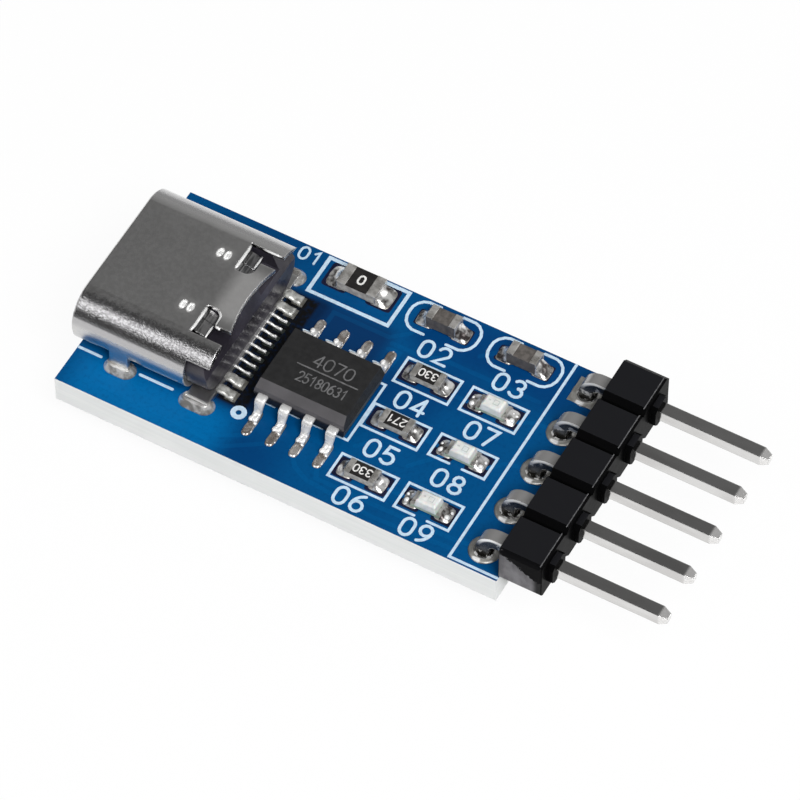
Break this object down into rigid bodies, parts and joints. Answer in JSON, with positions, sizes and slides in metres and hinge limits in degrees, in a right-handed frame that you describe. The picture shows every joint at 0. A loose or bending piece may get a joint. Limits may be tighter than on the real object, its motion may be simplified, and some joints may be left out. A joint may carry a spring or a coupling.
{
  "type": "usb to serial adapter module",
  "caption": "Small blue circuit board with a USB-C receptacle at one end, a bridge chip and chip parts in the middle, and a right-angle pin header at the other end.",
  "frame": {"origin": "centre of the circuit board's underside", "axes": "+X from the USB receptacle to the header pins, +Y across the board towards the first (square) pin pad, +Z out of the component side"},
  "size_m": [0.0321, 0.0128, 0.0062],
  "materials": {
    "solder_mask": "satin",
    "shell_nickel": "satin",
    "black_moulding": "matte",
    "header_plastic": "satin",
    "chip_epoxy": "matte",
    "gold_contacts": "polished",
    "plated_pin": "polished",
    "tinned_lead": "satin",
    "tinned_pad": "satin",
    "solder": "polished",
    "tinned_terminal": "satin",
    "black_coat": "satin",
    "capacitor_ceramic": "satin",
    "indicator_lens": "gloss",
    "indicator_base": "matte",
    "resistor_ceramic": "matte"
  },
  "bodies": {
    "root": {"capacitor_1_body": "capacitor_ceramic", "capacitor_1_terminals": "tinned_terminal", "capacitor_2_body": "capacitor_ceramic", "capacitor_2_terminals": "tinned_terminal", "chip_body": "chip_epoxy", "chip_leads": "tinned_lead", "chip_pads": "tinned_pad", "chip_solder": "solder", "circuit_board": "solder_mask", "header_housing": "header_plastic", "header_pin_1": "plated_pin", "header_pin_2": "plated_pin", "header_pin_3": "plated_pin", "header_pin_4": "plated_pin", "header_pin_5": "plated_pin", "header_solder": "solder", "indicator_1_base": "indicator_base", "indicator_1_lens": "indicator_lens", "indicator_1_terminals": "tinned_terminal", "indicator_2_base": "indicator_base", "indicator_2_lens": "indicator_lens", "indicator_2_terminals": "tinned_terminal", "indicator_3_base": "indicator_base", "indicator_3_lens": "indicator_lens", "indicator_3_terminals": "tinned_terminal", "link_body": "resistor_ceramic", "link_coat": "black_coat", "link_terminals": "tinned_terminal", "resistor_1_body": "resistor_ceramic", "resistor_1_coat": "black_coat", "resistor_1_terminals": "tinned_terminal", "resistor_2_body": "resistor_ceramic", "resistor_2_coat": "black_coat", "resistor_2_terminals": "tinned_terminal", "resistor_3_body": "resistor_ceramic", "resistor_3_coat": "black_coat", "resistor_3_terminals": "tinned_terminal", "small_part_pads": "tinned_pad", "small_part_solder": "solder", "usb_contacts_lower": "gold_contacts", "usb_contacts_upper": "gold_contacts", "usb_insulator": "black_moulding", "usb_leg_solder": "solder", "usb_power_tails": "tinned_lead", "usb_shell": "shell_nickel", "usb_signal_tails": "tinned_lead", "usb_tail_pads": "tinned_pad"}
  },
  "joints": []
}
